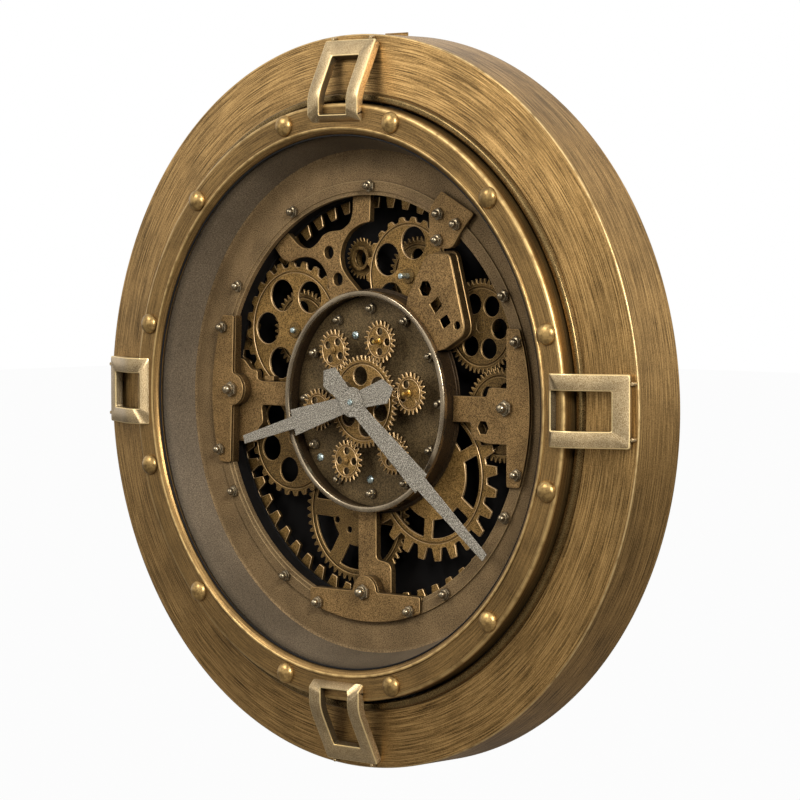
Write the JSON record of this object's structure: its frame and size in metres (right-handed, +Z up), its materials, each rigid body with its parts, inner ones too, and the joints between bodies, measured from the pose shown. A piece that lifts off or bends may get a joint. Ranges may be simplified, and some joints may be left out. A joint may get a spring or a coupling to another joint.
{
  "type": "gear wall clock",
  "caption": "Round wall clock with an open gear mechanism behind glass, a riveted bezel with bent latches, two hands and a turning gear train in a centre drum.",
  "frame": {"origin": "on the axis of the hands, in the plane of the wall", "axes": "+Z up, +X to the right seen from the front, the clock faces -Y and its back meets the wall at Y = 0"},
  "size_m": [0.612, 0.0792, 0.615],
  "materials": {
    "case_metal": "spun sheet, brushed and coloured as old bronze",
    "aged_brass": "coloured as aged brass, with bright worn edges",
    "clear_glass": "clear flat glass",
    "dial_bronze": "fibreboard ring in dark bronze paint",
    "plate_bronze": "brushed bronze-coloured plate",
    "gear_brass": "tan brass with turned grain",
    "stud_steel": "bright steel",
    "hand_silver": "speckled silver-grey",
    "movement_plastic": "black moulded plastic",
    "battery_metal": "plain wrapped cell"
  },
  "bodies": {
    "case": {"anchor_studs": "stud_steel", "arm_bottom": "plate_bronze", "arm_left": "plate_bronze", "arm_right": "plate_bronze", "battery": "battery_metal", "bezel_ring": "aged_brass", "bezel_rivets": "aged_brass", "case_shell": "case_metal", "centre_drum": "gear_brass", "dial_pan": "dial_bronze", "dial_studs": "stud_steel", "disc_plate": "plate_bronze", "disc_studs": "stud_steel", "flanged_bridge": "plate_bronze", "glass_lens": "clear_glass", "hanger_tab": "case_metal", "latch_bottom": "aged_brass", "latch_left": "aged_brass", "latch_right": "aged_brass", "latch_top": "aged_brass", "movement_nut": "stud_steel", "quartz_movement": "movement_plastic", "ring_gear": "gear_brass", "segment_bracket_bottom": "plate_bronze", "segment_bracket_left": "plate_bronze", "segment_bracket_right": "plate_bronze", "stud_plate": "plate_bronze", "top_bridge": "plate_bronze", "wheel_arbors": "gear_brass", "wheel_bottom": "gear_brass", "wheel_lower_left": "gear_brass", "wheel_lower_right": "gear_brass", "wheel_posts": "gear_brass", "wheel_right_lower": "gear_brass", "wheel_right_upper": "gear_brass", "wheel_top_left": "gear_brass", "wheel_top_right": "gear_brass"},
    "centre": {"centre_wheel": "gear_brass"},
    "hour": {"hour_hand": "hand_silver"},
    "minute": {"minute_hand": "hand_silver", "hand_cap": "stud_steel"},
    "small_1": {"small_wheel_1": "gear_brass"},
    "small_2": {"small_wheel_2": "gear_brass"},
    "small_3": {"small_wheel_3": "gear_brass"},
    "small_4": {"small_wheel_4": "gear_brass"},
    "small_5": {"small_wheel_5": "gear_brass"},
    "small_6": {"small_wheel_6": "gear_brass"}
  },
  "joints": [
    {"name": "minute_turn", "type": "hinge", "parent": "case", "child": "minute", "pos_m": [0, -0.057, 0], "axis": [0, 1, 0], "continuous": true},
    {"name": "hour_turn", "type": "hinge", "parent": "case", "child": "hour", "pos_m": [0, -0.055, 0], "axis": [0, 1, 0], "continuous": true},
    {"name": "centre_turn", "type": "hinge", "parent": "case", "child": "centre", "pos_m": [0, -0.0415, 0], "axis": [0, 1, 0], "continuous": true},
    {"name": "small_turn_1", "type": "hinge", "parent": "case", "child": "small_1", "pos_m": [0.05354, -0.0415, 0.00848], "axis": [0, 1, 0], "continuous": true},
    {"name": "small_turn_2", "type": "hinge", "parent": "case", "child": "small_2", "pos_m": [0.01942, -0.0415, 0.0506], "axis": [0, 1, 0], "continuous": true},
    {"name": "small_turn_3", "type": "hinge", "parent": "case", "child": "small_3", "pos_m": [-0.03411, -0.0415, 0.04212], "axis": [0, 1, 0], "continuous": true},
    {"name": "small_turn_4", "type": "hinge", "parent": "case", "child": "small_4", "pos_m": [-0.05354, -0.0415, -0.00848], "axis": [0, 1, 0], "continuous": true},
    {"name": "small_turn_5", "type": "hinge", "parent": "case", "child": "small_5", "pos_m": [-0.01942, -0.0415, -0.0506], "axis": [0, 1, 0], "continuous": true},
    {"name": "small_turn_6", "type": "hinge", "parent": "case", "child": "small_6", "pos_m": [0.03411, -0.0415, -0.04212], "axis": [0, 1, 0], "continuous": true}
  ],
  "couplings": [
    {"joint": "hour_turn", "follows": "minute_turn", "ratio": 0.083333},
    {"joint": "small_turn_1", "follows": "centre_turn", "ratio": -2.2727},
    {"joint": "small_turn_2", "follows": "centre_turn", "ratio": -2.2727},
    {"joint": "small_turn_3", "follows": "centre_turn", "ratio": -2.2727},
    {"joint": "small_turn_4", "follows": "centre_turn", "ratio": -2.2727},
    {"joint": "small_turn_5", "follows": "centre_turn", "ratio": -2.2727},
    {"joint": "small_turn_6", "follows": "centre_turn", "ratio": -2.2727}
  ]
}
